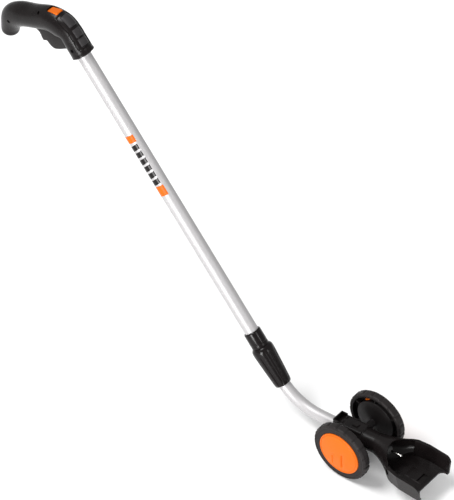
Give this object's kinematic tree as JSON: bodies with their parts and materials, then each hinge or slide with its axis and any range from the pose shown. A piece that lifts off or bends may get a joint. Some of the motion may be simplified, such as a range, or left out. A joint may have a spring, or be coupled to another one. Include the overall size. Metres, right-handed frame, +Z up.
{
  "type": "grass shears extension handle",
  "caption": "Long-reach grass shears handle: pistol grip with trigger, telescoping pole with twist clamp, two wheels and an open swivelling cradle for the shears.",
  "frame": {"origin": "on the ground, halfway between the back of the grip and the front of the cradle", "axes": "+X forwards, from grip to cradle; +Y the user's left, along the axle; +Z up"},
  "size_m": [0.837, 0.1068, 0.5684],
  "materials": {
    "casing_black": "fine moulded texture",
    "soft_pad": "soft, matt",
    "gloss_black": "glossy",
    "wheel_black": "satin moulded",
    "tyre": "hard, satin",
    "orange": "satin",
    "tube_aluminium": "satin anodised",
    "bush_plastic": "moulded",
    "steel": "zinc plated",
    "contact_metal": "bright nickel plate"
  },
  "bodies": {
    "handle_and_upper_tube": {"handle_shell_right": "casing_black", "handle_shell_left": "casing_black", "handle_pad": "soft_pad", "handle_collar": "gloss_black", "handle_screws": "steel", "trigger_pin": "steel", "switch_body": "bush_plastic", "switch_plunger": "bush_plastic", "trigger_spring": "steel", "lock_spring": "steel", "upper_tube": "tube_aluminium", "clamp_sleeve": "gloss_black", "clamp_collet": "bush_plastic", "mark_ends": "orange", "mark_middle": "gloss_black"},
    "trigger": {"trigger": "casing_black"},
    "lock_button": {"lock_button": "orange"},
    "twist_nut": {"twist_nut": "gloss_black"},
    "lower_pole": {"lower_tube": "tube_aluminium", "slide_bush": "bush_plastic", "head_shell_right": "casing_black", "head_shell_left": "casing_black", "head_screws": "steel", "tube_pin": "steel", "axle": "steel", "axle_washers": "steel", "axle_clips": "steel", "latch_spring": "steel"},
    "swivel_latch": {"swivel_latch": "casing_black"},
    "wheel_right": {"wheel_right": "wheel_black", "tyre_right": "tyre", "hubcap_right": "orange"},
    "wheel_left": {"wheel_left": "wheel_black", "tyre_left": "tyre", "hubcap_left": "orange"},
    "cradle": {"cradle": "casing_black", "latch_plate": "casing_black", "contact_block": "bush_plastic", "contact_pin": "contact_metal"}
  },
  "joints": [
    {"name": "trigger_pull", "type": "hinge", "parent": "handle_and_upper_tube", "child": "trigger", "pos_m": [-0.3405, 0, 0.524], "axis": [0, -1, 0], "range_deg": [0, 6], "stiffness_Nm_per_rad": 1.2, "springref_deg": -20.05, "deforming": ["trigger_spring"]},
    {"name": "lock_press", "type": "slide", "parent": "handle_and_upper_tube", "child": "lock_button", "axis": [0.2756, 0, -0.9613], "range_m": [0, 0.0022], "stiffness_N_per_m": 400, "springref_m": -0.004, "deforming": ["lock_spring"]},
    {"name": "nut_twist", "type": "hinge", "parent": "handle_and_upper_tube", "child": "twist_nut", "pos_m": [0.10173, 0, 0.09234], "axis": [-0.6534, 0, 0.757], "range_deg": [0, 150]},
    {"name": "pole_telescope", "type": "slide", "parent": "handle_and_upper_tube", "child": "lower_pole", "axis": [0.6534, 0, -0.757], "range_m": [0, 0.3]},
    {"name": "wheel_right_spin", "type": "hinge", "parent": "lower_pole", "child": "wheel_right", "pos_m": [0.2765, 0, 0.049], "axis": [0, 1, 0], "continuous": true},
    {"name": "wheel_left_spin", "type": "hinge", "parent": "lower_pole", "child": "wheel_left", "pos_m": [0.2765, 0, 0.049], "axis": [0, 1, 0], "continuous": true},
    {"name": "cradle_swivel", "type": "hinge", "parent": "lower_pole", "child": "cradle", "pos_m": [0.2864, 0, 0.05039], "axis": [0.9903, 0, 0.1392], "range_deg": [-90, 90]},
    {"name": "latch_slide", "type": "slide", "parent": "lower_pole", "child": "swivel_latch", "axis": [-0.9903, 0, -0.1392], "range_m": [0, 0.003], "stiffness_N_per_m": 300, "springref_m": -0.004, "deforming": ["latch_spring"]}
  ]
}
